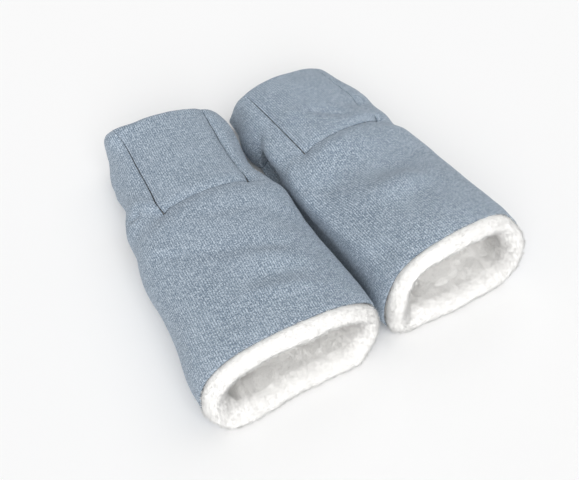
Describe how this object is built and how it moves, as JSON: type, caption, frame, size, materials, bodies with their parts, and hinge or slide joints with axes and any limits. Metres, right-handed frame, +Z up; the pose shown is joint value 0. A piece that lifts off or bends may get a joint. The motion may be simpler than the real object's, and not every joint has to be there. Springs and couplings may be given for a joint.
{
  "type": "pair of pushchair hand muffs",
  "caption": "Pair of padded, fur-lined hand muffs with boxed heads, handlebar slots in the sides and a press-studded flap under each head.",
  "frame": {"origin": "on the floor, under the middle of the pair's box", "axes": "+X across the pair from the left muff to the right one, +Y from the open cuffs to the boxed heads, +Z up"},
  "size_m": [0.3142, 0.3228, 0.0985],
  "materials": {
    "outer_cloth": "blue-grey melange canvas weave, matt",
    "wadding": "white polyester wadding",
    "fur_pile": "off-white short fleece fur pile",
    "stud_metal": "plain satin press stud"
  },
  "bodies": {
    "left_muff": {"left_upper_shell": "outer_cloth", "left_crown_panel": "outer_cloth", "left_under_panel": "outer_cloth", "left_upper_wadding": "wadding", "left_crown_wadding": "wadding", "left_under_wadding": "wadding", "left_fur_lining": "fur_pile", "left_cuff_roll": "fur_pile", "left_press_stud_1_knob": "stud_metal", "left_press_stud_1_backing": "stud_metal", "left_press_stud_2_knob": "stud_metal", "left_press_stud_2_backing": "stud_metal"},
    "left_flap": {"left_flap_shell": "outer_cloth", "left_flap_wadding": "wadding", "left_flap_lining": "fur_pile", "left_press_stud_1_cap": "stud_metal", "left_press_stud_1_socket": "stud_metal", "left_press_stud_2_cap": "stud_metal", "left_press_stud_2_socket": "stud_metal"},
    "right_muff": {"right_upper_shell": "outer_cloth", "right_crown_panel": "outer_cloth", "right_under_panel": "outer_cloth", "right_upper_wadding": "wadding", "right_crown_wadding": "wadding", "right_under_wadding": "wadding", "right_fur_lining": "fur_pile", "right_cuff_roll": "fur_pile", "right_press_stud_1_knob": "stud_metal", "right_press_stud_1_backing": "stud_metal", "right_press_stud_2_knob": "stud_metal", "right_press_stud_2_backing": "stud_metal"},
    "right_flap": {"right_flap_shell": "outer_cloth", "right_flap_wadding": "wadding", "right_flap_lining": "fur_pile", "right_press_stud_1_cap": "stud_metal", "right_press_stud_1_socket": "stud_metal", "right_press_stud_2_cap": "stud_metal", "right_press_stud_2_socket": "stud_metal"}
  },
  "joints": [
    {"name": "left_flap_hinge", "type": "hinge", "parent": "left_muff", "child": "left_flap", "pos_m": [-0.0625, 0.15279, 0.0082], "axis": [0.9992, -0.041, 0], "range_deg": [0, 180]},
    {"name": "right_muff_apart", "type": "slide", "parent": "left_muff", "child": "right_muff", "axis": [1, 0, 0], "range_m": [0, 0.15]},
    {"name": "right_flap_hinge", "type": "hinge", "parent": "right_muff", "child": "right_flap", "pos_m": [0.0725, 0.15979, 0.0082], "axis": [0.9992, 0.041, 0], "range_deg": [0, 180]}
  ]
}
